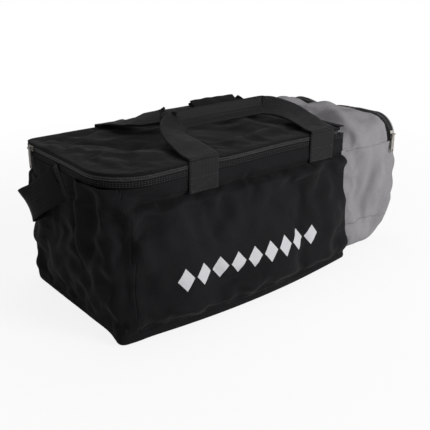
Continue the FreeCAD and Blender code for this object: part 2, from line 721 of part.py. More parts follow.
def oblong(sketch, half, low, high):
    corners = [(half, low), (half, high), (f"-{half}", high), (f"-{half}", low)]
    closed_path(sketch, [(x, y, None) for x, y in corners])


def grip_piece(name, *oblongs):
    body = doc.addObject("PartDesign::Body", name)
    section = sketch_on(body, name + "_section", "YZ_Plane")
    for half, low, high in oblongs:
        oblong(section, half, low, high)
    pad(body, section, "wrap_length", midplane=True)
    body.Placement = FreeCAD.Placement(Vector(), FreeCAD.Rotation(Vector(1, 0, 0), number(WRAP_TURN)))
    bind(body, Placement__Base__x="wrap_place", Placement__Base__y=GRIP_Y, Placement__Base__z=GRIP_Z)
    return keep(body, name)


grip_piece(
    "grip_wrap", (SLEEVE_HALF_WIDTH, f"-{SLEEVE_HALF_HEIGHT}", SLEEVE_HALF_HEIGHT),
    (BORE_HALF_WIDTH, f"-{BORE_HALF_HEIGHT}", BORE_HALF_HEIGHT))
FLAP_SEAT = f"({SLEEVE_HALF_HEIGHT} + clearance)"
grip_piece("grip_wrap_flap", (SLEEVE_HALF_WIDTH, FLAP_SEAT, f"({FLAP_SEAT} + wrap_flap)"))

# End grab handle: a strap loop sewn across the end wall on a slant, which bows out and sags
GRAB_X = f"({LEFT} - clearance - grab_thickness/2)"
near = Vector(number(GRAB_X), number("grab_near_y"), number("grab_near_z"))
far = Vector(number(GRAB_X), number("grab_far_y"), number("grab_far_z"))
chord = far - near
along = Vector(chord).normalize()
rise = Vector(1, 0, 0).cross(along)
edge = rise * number("grab_width/2")
bow = Vector(-number("grab_reach"), 0, -number("grab_droop"))
GRAB_STEPS = 12


def grab_solid():
    wires = []
    for step in range(GRAB_STEPS + 1):
        turn = math.pi * step / GRAB_STEPS
        middle = near + chord * step / GRAB_STEPS + bow * sin(turn)
        heading = chord + bow * math.pi * cos(turn)
        through = heading.cross(rise).normalize() * number("grab_thickness/2")
        corners = [
            middle + edge + through, middle - edge + through, middle - edge - through,
            middle + edge - through]
        wires.append(Part.makePolygon(corners + corners[:1]))
    return Part.makeLoft(wires, True, True)


grab_loop = doc.addObject("Part::Feature", "grab_loop")
grab_loop.Shape = grab_solid()
keep(grab_loop, "end_handle_strap")
TAB_GAP = "(clearance + grab_thickness/2)"
for end, anchor, start in (("near", near, f"-({TAB_GAP} + grab_tab_length)"), ("far", far, TAB_GAP)):
    tab = doc.addObject("Part::Box", f"grab_tab_{end}")
    bind(tab, Length="grab_thickness", Width="grab_tab_length", Height="grab_width")
    corner = anchor + along * number(start) - edge
    corner.x = number(f"{LEFT} - grab_thickness")
    slant = FreeCAD.Rotation(Vector(1, 0, 0), atan2(along.z, along.y) * 180 / math.pi)
    tab.Placement = FreeCAD.Placement(corner, slant)
    keep(tab, f"end_handle_tab_{end}")

doc.recompute()
for thing in doc.Objects:
    if "Invalid" in thing.State or "Error" in thing.State or "Touched" in thing.State:
        raise SystemExit(f"{thing.Name} is {thing.State}")
for made in kept:
    if made.Shape.isNull() or not made.Shape.isValid() or made.Shape.Volume <= 0:
        raise SystemExit(f"{made.Label} has no valid solid")
os.makedirs("parts", exist_ok=True)
for made in kept:
    made.Shape.exportStep(f"parts/{made.Label}.step")
print(len(kept), "sub-parts written")
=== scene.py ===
import bpy
import math
import numpy as np
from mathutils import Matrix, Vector


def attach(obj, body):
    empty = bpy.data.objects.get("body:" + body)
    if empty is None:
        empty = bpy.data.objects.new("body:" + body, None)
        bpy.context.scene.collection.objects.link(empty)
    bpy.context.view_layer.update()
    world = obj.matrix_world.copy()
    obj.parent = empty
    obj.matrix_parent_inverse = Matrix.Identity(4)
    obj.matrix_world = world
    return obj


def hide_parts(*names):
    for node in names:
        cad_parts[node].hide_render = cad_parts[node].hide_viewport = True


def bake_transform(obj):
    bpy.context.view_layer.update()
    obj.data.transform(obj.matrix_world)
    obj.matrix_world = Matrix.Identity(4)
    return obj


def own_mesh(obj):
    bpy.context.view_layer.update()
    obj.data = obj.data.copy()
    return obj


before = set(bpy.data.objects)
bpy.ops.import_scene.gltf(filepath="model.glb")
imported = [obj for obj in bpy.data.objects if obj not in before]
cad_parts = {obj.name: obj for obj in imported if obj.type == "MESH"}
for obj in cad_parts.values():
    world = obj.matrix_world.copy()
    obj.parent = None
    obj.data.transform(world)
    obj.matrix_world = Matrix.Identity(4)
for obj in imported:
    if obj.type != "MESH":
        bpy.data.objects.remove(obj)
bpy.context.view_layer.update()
bpy.ops.object.select_all(action="DESELECT")

# Camera, set as the photograph was taken: in front of the left end, a little above the lid.
camera = bpy.data.objects.new("camera", bpy.data.cameras.new("camera"))
bpy.context.scene.collection.objects.link(camera)
camera.location = (-0.7532, -0.9241, 0.5489)
aim = Vector((-0.0769, -0.0810, 0.1285)) - camera.location
camera.rotation_euler = aim.to_track_quat("-Z", "Y").to_euler()
camera.data.lens = 58.9
camera.data.sensor_width = 36
bpy.context.scene.camera = camera

# Black outer shell of the main compartment. The real one is sewn from woven 600 denier polyester: a front, a
# back and an end panel on a base panel, with a band above the seam that carries the zip. It has no frame, so
# it bulges over its load and creases at the corners.
LEFT, PARTING = -302.5, 167.5
SEAM, BAND_TOP, PIVOT = 200, 228, 252


def linear(code):
    parts = [int(code[k:k + 2], 16) / 255 for k in (1, 3, 5)]
    return (*[c / 12.92 if c <= 0.04045 else ((c + 0.055) / 1.055) ** 2.4 for c in parts], 1.0)


def add_node(material, kind, links, **settings):
    made = material.node_tree.nodes.new(kind)
    for name, value in settings.items():
        setattr(made, name, value)
    for socket, value in links.items():
        if isinstance(value, bpy.types.NodeSocket):
            material.node_tree.links.new(value, made.inputs[socket])
        else:
            made.inputs[socket].default_value = value
    return made


def new_material(name):
    material = bpy.data.materials.new(name)
    material.use_nodes = True
    return material, material.node_tree.nodes["Principled BSDF"]


def join_up(material, output, target):
    material.node_tree.links.new(output, target)


# Woven polyester: matt, with a faint sheen at a flat angle, small creases about 16 mm apart and a slight unevenness
# of the dye. Its threads are 0.6 mm apart and drawn at 2.2 mm, because finer ones don't show in the render.
def woven_polyester(name, dark, light, crease_depth):
    material, surface = new_material(name)
    place = add_node(material, "ShaderNodeTexCoord", {}).outputs["Object"]
    patches = add_node(material, "ShaderNodeTexNoise", {"Vector": place, "Scale": 11, "Detail": 3})
    creases = add_node(
        material, "ShaderNodeTexNoise", {"Vector": place, "Scale": 62, "Detail": 3, "Roughness": 0.55})
    slubs = add_node(material, "ShaderNodeTexNoise", {"Vector": place, "Scale": 900, "Detail": 2})
    threads = [
        add_node(material, "ShaderNodeTexWave", {"Vector": place, "Scale": 143, "Distortion": 0.4},
                 bands_direction=axis).outputs["Fac"] for axis in "XYZ"]
    pair = add_node(material, "ShaderNodeMath", {0: threads[0], 1: threads[1]}, operation="ADD").outputs[0]
    weave = add_node(material, "ShaderNodeMath", {0: pair, 1: threads[2]}, operation="ADD").outputs[0]
    tone = add_node(
        material, "ShaderNodeMath", {0: patches.outputs["Fac"], 1: slubs.outputs["Fac"]}, operation="ADD")
    spread = add_node(material, "ShaderNodeMapRange", {"Value": tone.outputs[0], 1: 0.7, 2: 1.3})
    colour = add_node(
        material, "ShaderNodeMix", {0: spread.outputs[0], 6: linear(dark), 7: linear(light)}, data_type="RGBA")
    join_up(material, colour.outputs[2], surface.inputs["Base Color"])
    soft = add_node(
        material, "ShaderNodeBump", {"Height": creases.outputs["Fac"], "Strength": 1, "Distance": crease_depth})
    fine = add_node(
        material, "ShaderNodeBump",
        {"Height": weave, "Strength": 0.35, "Distance": 0.00025, "Normal": soft.outputs["Normal"]})
    join_up(material, fine.outputs["Normal"], surface.inputs["Normal"])
    surface.inputs["Roughness"].default_value = 0.78
    surface.inputs["Specular IOR Level"].default_value = 0.1
    surface.inputs["Sheen Weight"].default_value = 0.04
    surface.inputs["Sheen Roughness"].default_value = 0.45
    return material, place, colour.outputs[2], surface


def made_mesh(name, points, faces):
    mesh = bpy.data.meshes.new(name)
    mesh.from_pydata((np.asarray(points, float) * 0.001).tolist(), [], [list(map(int, f)) for f in faces])
    mesh.update()
    mesh.shade_smooth()
    made = bpy.data.objects.new(name, mesh)
    bpy.context.scene.collection.objects.link(made)
    return made


def grid_faces(rows, columns, closed=False):
    faces = []
    for row in range(rows - 1):
        for column in range(columns if closed else columns - 1):
            beside = (column + 1) % columns
            low, high = row * columns, (row + 1) * columns
            faces.append((low + column, low + beside, high + beside, high + column))
    return faces


# A smooth uneven field of about -1 to 1, with swellings about size mm apart
def crumple(points, size, seed):
    chance = np.random.default_rng(seed)
    ways = chance.normal(size=(20, 3))
    ways *= 2 * math.pi / size * chance.uniform(0.7, 1.3, (20, 1)) / np.linalg.norm(ways, axis=1)[:, None]
    return np.sin(points @ ways.T + chance.uniform(0, 6.28, 20)).sum(1) / 5


# A ridge or crease of that height along a line, falling off to both sides over width
def fold(points, line, width, height):
    line = np.array(line, float)
    nearest = np.full(len(points), 1e9)
    for start, end in zip(line[:-1], line[1:]):
        run = end - start
        along = np.clip((points - start) @ run / (run @ run), 0, 1)
        nearest = np.minimum(nearest, np.linalg.norm(points - start - along[:, None] * run, axis=1))
    return height * np.exp(-((nearest / width) ** 2))


def eased(value, low, high):
    share = np.clip((value - low) / (high - low), 0, 1)
    return share * share * (3 - 2 * share)


# Lets the cloth settle under the load inside it. held is 1 where it is sewn to something and 0 where it is free,
# spare is how much longer the cloth is than the shape that it covers, and most caps how far a point moves, in mm.
def settled(points, faces, held, load, spare, most):
    cloth_piece = made_mesh("cloth", points, faces)
    sewn = cloth_piece.vertex_groups.new(name="sewn")
    for index, weight in enumerate(held):
        if weight > 0:
            sewn.add([index], float(weight), "REPLACE")
    cloth = cloth_piece.modifiers.new("cloth", "CLOTH")
    cloth.settings.quality = 5
    cloth.settings.mass = 0.25
    cloth.settings.tension_stiffness = 20
    cloth.settings.compression_stiffness = 20
    cloth.settings.shear_stiffness = 6
    cloth.settings.bending_stiffness = 1.2
    cloth.settings.vertex_group_mass = "sewn"
    cloth.settings.use_pressure = True
    cloth.settings.uniform_pressure_force = load
    cloth.settings.shrink_min = -spare
    cloth.settings.effector_weights.gravity = 0
    for step in range(1, 21):
        bpy.context.scene.frame_set(step)
    formed = cloth_piece.evaluated_get(bpy.context.evaluated_depsgraph_get()).to_mesh()
    rested = np.empty(len(points) * 3)
    formed.vertices.foreach_get("co", rested)
    moved = rested.reshape(-1, 3) * 1000 - points
    bpy.data.objects.remove(cloth_piece)
    bpy.context.scene.frame_set(1)
    far = np.linalg.norm(moved, axis=1)
    return points + moved * np.minimum(1, most / np.maximum(far, 1e-9))[:, None]


# One smooth cloth surface with numbered areas, from which each panel is then cut along its seams
def smooth_surface(name, points, faces, areas):
    whole = made_mesh(name, points, faces)
    whole.data.polygons.foreach_set("material_index", areas)
    bpy.context.view_layer.objects.active = whole
    whole.modifiers.new("rounding", "SUBSURF").levels = 1
    bpy.ops.object.modifier_apply(modifier="rounding")
    return whole


def cut_panel(whole, area, name, thickness, material, body, nodes):
    panel = whole.copy()
    panel.data = whole.data.copy()
    panel.name = name
    bpy.context.scene.collection.objects.link(panel)
    bpy.ops.object.select_all(action="DESELECT")
    panel.select_set(True)
    bpy.context.view_layer.objects.active = panel
    bpy.context.scene.tool_settings.mesh_select_mode = (False, False, True)
    for face in panel.data.polygons:
        face.select = face.material_index != area
    bpy.ops.object.mode_set(mode="EDIT")
    bpy.ops.mesh.delete(type="FACE")
    bpy.ops.object.mode_set(mode="OBJECT")
    panel.data.polygons.foreach_set("material_index", [0] * len(panel.data.polygons))
    panel.data.materials.append(material)
    wall = panel.modifiers.new("cloth_thickness", "SOLIDIFY")
    wall.thickness = thickness
    wall.offset = -1
    panel.select_set(False)
    if body:
        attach(panel, body)
    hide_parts(*nodes)
    return panel


def faces_outward(piece):
    bpy.ops.object.select_all(action="DESELECT")
    piece.select_set(True)
    bpy.context.view_layer.objects.active = piece
    bpy.ops.object.mode_set(mode="EDIT")
    bpy.ops.mesh.select_all(action="SELECT")
    bpy.ops.mesh.normals_make_consistent(inside=False)
    bpy.ops.object.mode_set(mode="OBJECT")
    piece.select_set(False)


def refinish(node, material):
    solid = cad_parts[node]
    solid.data.materials.clear()
    solid.data.materials.append(material)


# The plan of the shell at one height, from the back right corner round the left end to the front right corner
def shell_plan(z, front_radius):
    low = np.clip(1 - z / SEAM, 0, 1)
    left_half, right_half, bulge, back_radius = 134 + 16 * low, 134 + 7 * low, 18 * low, 20 + 10 * low
    way = np.linspace(0, 1, 91)
    back = np.stack([
        PARTING + (LEFT + back_radius - PARTING) * way,
        right_half + (left_half - right_half) * way + 4 * bulge * way * (1 - way)], 1)
    turn = np.radians(np.linspace(90, 180, 7))
    back_corner = np.stack([
        LEFT + back_radius + back_radius * np.cos(turn),
        left_half - back_radius + back_radius * np.sin(turn)], 1)
    end = np.stack([
        np.full(37, LEFT), np.linspace(left_half - back_radius, front_radius - left_half, 37)], 1)
    turn = np.radians(np.linspace(180, 270, 19))
    front_corner = np.stack([
        LEFT + front_radius + front_radius * np.cos(turn),
        front_radius - left_half + front_radius * np.sin(turn)], 1)
    way = np.linspace(0, 1, 83)
    front = np.stack([
        LEFT + front_radius + (PARTING - LEFT - front_radius) * way,
        -left_half + (left_half - right_half) * way - 4 * bulge * way * (1 - way)], 1)
    return np.concatenate([back, back_corner[1:], end[1:], front_corner[1:], front[1:]])


def outward_of(plan):
    along = np.gradient(plan, axis=0)
    return np.stack([along[:, 1], -along[:, 0]], 1) / np.linalg.norm(along, axis=1)[:, None]


# The front left corner is tight at the base and wide at the zip
def front_radius_at(z):
    return np.interp(z, [0, 60, 150, 192, 206, 232], [14, 18, 24, 30, 44, 70])


# How far the zip line wanders in and out. It is still at the sliders, at the handle tabs and at the lid's fold.
def wander(x, y):
    place = np.stack([x, y, np.zeros_like(x)], 1)
    sway = 2.2 * crumple(place, 170, 5)
    sway *= 1 - eased(x, 60, 90)
    sway *= 1 - np.exp(-(((x + 142) / 38) ** 2))
    sway *= 1 - np.exp(-(((x + 300) / 30) ** 2 + ((y - 104) / 26) ** 2))
    return sway * (1 - np.exp(-(((x + 262) / 32) ** 2 + ((y - 134) / 20) ** 2)))


SHELL_LEVELS = (
    [(0, 40), (0, 10), (0.6, 4.5), (3, 1.4), (7, 0.2), (11, 0), (15, 0)]
    + [(z, 0) for z in np.arange(19.5, 199, 4.51)]
    + [(198, 0), (200, 0), (202, 0)] + [(z, 0) for z in (206, 210.5, 215, 219.5, 224, 228)])
shell = []
outs = []
for z, inset in SHELL_LEVELS:
    plan = shell_plan(z, front_radius_at(z))
    out = outward_of(plan)
    shell.append(np.column_stack([plan - out * inset, np.full(len(plan), z)]))
    outs.append(np.column_stack([out, np.zeros(len(plan))]))
COLUMNS = len(shell[0])
shell, outs = np.concatenate(shell), np.concatenate(outs)
x, y, z = shell.T
at_end = eased(-x, 270, 300)
lower = 1 - eased(z, 196, 202)
grab_seat = np.exp(-(((y - 50) / 62) ** 2 + ((z - 183) / 42) ** 2)) * at_end

# The load pushes the panels out between their seams, least where the end handle and the carrying straps are sewn
push = 6 * np.sin(np.pi * np.clip(z / SEAM, 0, 1)) * (1 - at_end) * eased(np.abs(y), 60, 130)
push += 9 * at_end * np.sin(np.pi * np.clip(z / 236, 0, 1)) * (1 - eased(np.abs(y), 60, 140)) * (1 - grab_seat)
push += 5 * eased(x, 90, 165) * np.sin(np.pi * np.clip(z / 215, 0, 1))
printed = (y < 0) * np.exp(-(((x + 63) / 165) ** 6 + ((z - 80) / 42) ** 4))
small = (2.4 * crumple(shell, 55, 2) + 1.3 * crumple(shell, 32, 4)) * (1 - 0.85 * printed)
push += (4.2 * crumple(shell, 120, 1) + small) * lower * eased(z, 0, 30) * (1 - 0.9 * grab_seat)
push += 1.2 * crumple(shell, 60, 3) * (1 - lower) * (1 - eased(z, 216, 228))

# Creases and ridges where the full lower corner meets the rounded zip line above it
ridge = [(-302, -48, 243), (-302, -73, 236), (-301, -100, 228), (-292, -126, 212), (-279, -136, 196)]
push += fold(shell, ridge, 9, 7)
push += fold(shell, [(-279, -134, 196), (-276, -138, 162), (-266, -142, 137), (-257, -146, 112)], 12, 10)
push += fold(shell, [(-262, -134, 222), (-246, -134, 212), (-222, -134, 202)], 13, -7) * (1 - eased(z, 214, 224))
push += fold(shell, [(-290, -128, 186), (-289, -140, 160), (-292, -143, 120), (-298, -147, 70)], 14, -10)
push += fold(shell, [(-270, -142, 150), (-262, -148, 118), (-258, -152, 84)], 12, -4)
push += fold(shell, [(-302, -112, 210), (-303, -128, 160), (-304, -136, 110), (-306, -140, 50)], 16, 8)
push += fold(shell, [(-302, -84, 214), (-302, -92, 170), (-302, -86, 120), (-302, -78, 80)], 11, -7)
push += fold(shell, [(-302, -52, 222), (-302, -58, 170), (-302, -64, 128)], 12, 6)
push += fold(shell, [(-302, -28, 222), (-302, -34, 176), (-302, -44, 140), (-302, -60, 100)], 10, -6)
push += fold(shell, [(-302, 4, 132), (-302, 30, 112), (-302, 70, 96)], 14, -5)
push += fold(shell, [(-302, 118, 226), (-302, 112, 190), (-302, 104, 150)], 9, -5)

# Dents and slack in the front panel, its sunk top seam, and the fold over the base seam
push += fold(shell, [(-12, -140, 150), (-4, -142, 138)], 20, -8)
push += fold(shell, [(-50, -134, 206), (-52, -136, 186), (-60, -140, 168)], 8, -3)
push += fold(shell, [(96, -138, 150), (112, -140, 120), (104, -142, 84)], 34, -2)
push += fold(shell, [(-210, -138, 170), (-180, -140, 130), (-176, -144, 96)], 26, 4)
push -= 6 * np.exp(-(((z - SEAM) / 3.4) ** 2)) * eased(x, -284, -270)
push += 8 * np.exp(-(((z - 189) / 7.5) ** 2)) * eased(x, -280, -262)
seam_low = np.interp(x, [-305, -273, -232, -170, -92, -14, 78, 160], [30, 20, 17, 17, 20, 22, 17, 16])
push -= 4 * np.exp(-(((z - seam_low) / 4.5) ** 2)) * (1 - at_end)
push += 5 * np.exp(-(((z - seam_low - 17) / 13) ** 2)) * (1 - at_end)
push += 5 * (1 - eased(z, 30, 60)) * (1 - at_end) * (y < 0)
push += wander(x, y) * eased(z, SEAM, BAND_TOP)
shell = shell + outs * push[:, None]

# The near bottom corner stands out as a flattened point, and the right edge wavers where the pocket is sewn in
corner = np.exp(-(((x + 300) / 26) ** 2 + ((y + 146) / 26) ** 2 + (z / 34) ** 2))
shell[:, 0] -= 9 * corner
shell[:, 1] -= 7 * corner
edge_wave = np.interp(z, [0, 33, 56, 94, 125, 156, 194, 228], [6, 8, 9, 9, 2, -2, 2, 0])
shell[:, 0] += edge_wave * eased(x, 110, PARTING)
faces = grid_faces(len(SHELL_LEVELS), COLUMNS)
middles = np.array([np.mean([[x[k], y[k], z[k]] for k in f], axis=0) for f in faces])
areas = np.where(middles[:, 1] < 0, 1, 2)
areas = np.where(middles[:, 2] > SEAM, np.where(middles[:, 1] < 0, 4, 5), areas)
areas = np.where(middles[:, 0] < -277.5, 3, areas)
areas = np.where(middles[:, 2] < 15, 0, areas)
held = np.maximum.reduce([
    eased(z, 196, 200), 1 - eased(z, 12, 20), eased(x, 150, 166), np.clip(1.6 * grab_seat, 0, 1)])
shell = settled(shell, faces, held, 1.0, 0.035, 9)
black_shell = smooth_surface("black_shell", shell, faces, areas)
black_cloth = woven_polyester("black_woven_polyester", "#0c0c0e", "#161618", 0.0014)[0]

# Printed cloth for the front panel: the same polyester with a plain screen-printed band of white diamonds
printed_cloth, place, cloth_colour, surface = woven_polyester(
    "printed_woven_polyester", "#0c0c0e", "#161618", 0.0014)
split = add_node(printed_cloth, "ShaderNodeSeparateXYZ", {"Vector": place})
PITCH, BAND_LEFT, BAND_RIGHT, BAND_MIDDLE, BAND_HALF = 0.034, -0.216, 0.090, 0.080, 0.021


def figure(kind, first, second=0.0):
    return add_node(printed_cloth, "ShaderNodeMath", {0: first, 1: second}, operation=kind).outputs[0]


steps = figure("DIVIDE", figure("SUBTRACT", split.outputs["X"], BAND_LEFT), PITCH)
sideways = figure("MULTIPLY", figure("ABSOLUTE", figure("SUBTRACT", figure("FRACT", steps), 0.5)), 2.0)
upward = figure("DIVIDE", figure("ABSOLUTE", figure("SUBTRACT", split.outputs["Z"], BAND_MIDDLE)), BAND_HALF)
diamond = figure("LESS_THAN", figure("ADD", sideways, upward), 0.86)
inside = figure("MULTIPLY", figure("GREATER_THAN", split.outputs["X"], BAND_LEFT), diamond)
inside = figure("MULTIPLY", figure("LESS_THAN", split.outputs["X"], BAND_RIGHT), inside)
outer_side = figure("MULTIPLY", figure("LESS_THAN", split.outputs["Y"], -0.1), inside)
ink = add_node(
    printed_cloth, "ShaderNodeMix", {0: outer_side, 6: cloth_colour, 7: linear("#bdbdc0")}, data_type="RGBA")
join_up(printed_cloth, ink.outputs[2], surface.inputs["Base Color"])

for area, name, cloth in (
        (0, "base_panel", black_cloth), (1, "front_panel", printed_cloth), (2, "back_panel", black_cloth),
        (3, "end_panel", black_cloth), (4, "front_zip_band", black_cloth), (5, "back_zip_band", black_cloth)):
    cut_panel(black_shell, area, name + "_cloth", 0.002, cloth, "bag", [name])
bpy.data.objects.remove(black_shell)

# Base board: a sheet of extruded polypropylene that lies loose on the base panel. The solid's shape is right, and
# its finish is a fine matt grain.
plastic_sheet, surface = new_material("extruded_polypropylene_sheet")
place = add_node(plastic_sheet, "ShaderNodeTexCoord", {}).outputs["Object"]
grain = add_node(plastic_sheet, "ShaderNodeTexNoise", {"Vector": place, "Scale": 700, "Detail": 4})
pressed = add_node(
    plastic_sheet, "ShaderNodeBump", {"Height": grain.outputs["Fac"], "Strength": 0.4, "Distance": 0.0002})
join_up(plastic_sheet, pressed.outputs["Normal"], surface.inputs["Normal"])
surface.inputs["Base Color"].default_value = linear("#2c2c2e")
surface.inputs["Roughness"].default_value = 0.5
refinish("base_board", plastic_sheet)

# Divider between the main compartment and the pocket: one layer of the same black polyester, which hangs slack
# between the side seams.
across, up = np.meshgrid(np.linspace(-131.5, 131.5, 40), np.linspace(6, 238, 34))
slack = np.stack([np.full(across.size, PARTING - 3), across.ravel(), up.ravel()], 1)
edge = np.sin(np.pi * (slack[:, 1] + 131.5) / 263) * np.sin(np.pi * (slack[:, 2] - 6) / 232)
slack[:, 0] += edge * (4 * crumple(slack, 90, 21) - 5)
divider = made_mesh("divider_cloth", slack, grid_faces(34, 40))
divider.data.materials.append(black_cloth)
divider.modifiers.new("cloth_thickness", "SOLIDIFY").thickness = 0.0015
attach(divider, "bag")
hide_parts("divider_panel")

# Lid: a shallow crowned sheet of the black polyester, sewn to the upper zip tape round three sides. It sags a
# little between its edges and puckers along the zip.
LID_RIGHT, LID_EDGE = 158, 250
turn = np.radians(np.linspace(90, 0, 14))
front_rows = -64 - 70 * np.sin(turn)
turn = np.radians(np.linspace(0, 90, 8))
back_rows = 114 + 20 * np.sin(turn)
rows = np.concatenate([front_rows, np.linspace(-64, 114, 36)[1:-1], back_rows])
starts = np.where(
    rows < -64, LEFT + 70 - np.sqrt(np.clip(4900 - (rows + 64) ** 2, 0, None)),
    np.where(rows > 114, LEFT + 20 - np.sqrt(np.clip(400 - (rows - 114) ** 2, 0, None)), LEFT))
way = np.linspace(0, 1, 84)
lid = np.stack([
    starts[:, None] + (LID_RIGHT - starts)[:, None] * way,
    np.repeat(rows[:, None], 84, 1), np.full((len(rows), 84), float(LID_EDGE))], 2).reshape(-1, 3)
x, y, z = lid.T
inward = np.minimum.reduce([134 - np.abs(y), x - np.repeat(starts, 84), LID_RIGHT - x])
free = eased(inward, 0, 30)
under_straps = np.exp(-(((x + 142) / 40) ** 2)) + np.exp(-(((x - 111) / 40) ** 2))
lid[:, 2] += 5 * eased(inward, 0, 55) - 0.8 * (1 - eased(inward, 0, 5))
lid[:, 2] += free * (1.6 * crumple(lid, 85, 31) + 0.9 * crumple(lid, 38, 32) - 1.2)
lid[:, 2] += free * np.sin(x / 5.2 + 2 * crumple(lid, 60, 33)) * np.exp(-((inward - 10) / 12) ** 2)
lid[:, 2] += fold(lid, [(-286, 60, 250), (-262, -10, 254), (-228, -60, 254), (-190, -86, 254)], 16, 4)
lid[:, 2] += fold(lid, [(-262, 84, 250), (-230, 20, 254), (-196, -30, 254)], 14, -5)
lid[:, 2] -= 3 * eased(y, 30, 100) * free
sway = wander(x, y) * (1 - eased(inward, 0, 40))
lid[:, 0] += sway * np.where(x < -230, -1, 0)
lid[:, 1] += sway * np.sign(y) * (x > -232)
faces = grid_faces(len(rows), 84)
lid = settled(lid, faces, np.maximum(1 - free, 0.55 * under_straps), -0.5, 0.02, 5)
lid_surface = smooth_surface("lid_surface", lid, faces, [0] * len(faces))
cut_panel(lid_surface, 0, "lid_cloth", 0.002, black_cloth, "lid", ["lid_panel"])
bpy.data.objects.remove(lid_surface)

# Fold of the lid: a short strip of the same cloth, sewn to the lid and to the bag at the pocket's seam.
across, over = np.meshgrid(np.linspace(-133.5, 133.5, 60), np.linspace(155, PARTING, 8))
strip = np.stack([over.ravel(), across.ravel(), np.full(over.size, LID_EDGE + 0.2)], 1)
strip[:, 2] += 0.9 * np.sin(np.pi * (strip[:, 0] - 155) / 12.5) - 0.6
strip_piece = made_mesh("lid_hinge_cloth", strip, grid_faces(8, 60))
strip_piece.data.materials.append(black_cloth)
strip_piece.modifiers.new("cloth_thickness", "SOLIDIFY").thickness = 0.0018
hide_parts("lid_hinge_strip")
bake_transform(strip_piece)

# Main zip: two woven polyester tapes with a moulded nylon coil on each, sewn between the band and the lid. The
# coil is drawn as single teeth 2.4 mm apart, coarser than a real coil, so that it shows.
def tape_strip(name, low, high, inset, body, node, material):
    plan = shell_plan(240, 70)
    out = outward_of(plan)
    plan = plan + out * (wander(*plan.T) - inset)[:, None]
    plan = plan[plan[:, 0] < (159 if body == "lid" else 168)]
    levels = np.linspace(low, high, 4)
    points = np.concatenate([np.column_stack([plan, np.full(len(plan), level)]) for level in levels])
    strip = made_mesh(name, points, grid_faces(4, len(plan)))
    strip.data.materials.append(material)
    wall = strip.modifiers.new("cloth_thickness", "SOLIDIFY")
    wall.thickness = 0.0012
    wall.offset = -1
    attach(strip, body)
    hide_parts(node)


def walk(path, pitch):
    runs = np.concatenate([[0], np.cumsum(np.linalg.norm(np.diff(path, axis=0), axis=1))])
    count = int(runs[-1] / pitch)
    places = (np.arange(count) + 0.5) * pitch
    spots = np.stack([np.interp(places, runs, path[:, k]) for k in range(path.shape[1])], 1)
    ahead = np.stack([np.interp(places + 0.5, runs, path[:, k]) for k in range(path.shape[1])], 1)
    return spots, (ahead - spots) / np.maximum(np.linalg.norm(ahead - spots, axis=1), 1e-9)[:, None]


# One small shape repeated along a path: outline gives (along, across) in mm, and the shape is domed by height
def repeated(name, path, across, outline, height, pitch, lift):
    spots, alongs = walk(np.column_stack([path, across]), pitch)
    spots, across = spots[:, :3], spots[:, 3:]
    alongs = alongs[:, :3] / np.linalg.norm(alongs[:, :3], axis=1)[:, None]
    across = across / np.linalg.norm(across, axis=1)[:, None]
    outs = np.cross(alongs, across)
    points, faces = [], []
    size = len(outline)
    for spot, along, side, out in zip(spots, alongs, across, outs):
        first = len(points)
        for share, rise in ((1, -height), (1, height * 0.4), (0.62, height)):
            for a, b in outline:
                points.append(spot + along * a * share + side * b * share + out * (rise + lift))
        for ring in range(2):
            for k in range(size):
                low, high = first + ring * size, first + (ring + 1) * size
                faces.append((low + k, low + (k + 1) % size, high + (k + 1) % size, high + k))
        faces.append([first + 2 * size + k for k in range(size)])
        faces.append([first + k for k in reversed(range(size))])
    return made_mesh(name, points, faces)


zip_tape_cloth = woven_polyester("woven_zip_tape", "#0b0b0c", "#131315", 0.0002)[0]
nylon_teeth, surface = new_material("moulded_nylon_coil")
place = add_node(nylon_teeth, "ShaderNodeTexCoord", {}).outputs["Object"]
# Coil colour: noise mixes near-black with a lighter grey, and the lighter grey is painted highlight on the teeth
coil_highlight_noise = add_node(nylon_teeth, "ShaderNodeTexNoise", {"Vector": place, "Scale": 240, "Detail": 2})
coil_painted_highlight = add_node(
    nylon_teeth, "ShaderNodeMix", {0: coil_highlight_noise.outputs["Fac"], 6: linear("#161617"), 7: linear("#343436")},
    data_type="RGBA")
join_up(nylon_teeth, coil_painted_highlight.outputs[2], surface.inputs["Base Color"])
surface.inputs["Roughness"].default_value = 0.34
TOOTH = [(-0.8, -1.5), (0.8, -1.5), (1.0, 0), (0.8, 1.5), (-0.8, 1.5), (-1.0, 0)]
tape_strip("body_zip_tape_cloth", BAND_TOP - 0.5, 239.2, 0.4, "bag", "body_zip_tape", zip_tape_cloth)
tape_strip("lid_zip_tape_cloth", 244.8, 249, 0.4, "lid", "lid_zip_tape", zip_tape_cloth)
plan = shell_plan(240, 70)
plan = plan + outward_of(plan) * (wander(*plan.T) - 1)[:, None]
upright = np.tile([0.0, 0, 1], (len(plan), 1))
for name, level, body, node in (
        ("body_zip_teeth", 240.4, "bag", "body_zip_coil"), ("lid_zip_teeth", 243.6, "lid", "lid_zip_coil")):
    short = plan[:, 0] < 157.5
    row = repeated(
        name, np.column_stack([plan, np.full(len(plan), level)])[short], upright[short], TOOTH, 1.4, 2.4, 0)
    row.data.materials.append(nylon_teeth)
    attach(row, body)
    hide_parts(node)
refinish("body_zip_stops", nylon_teeth)

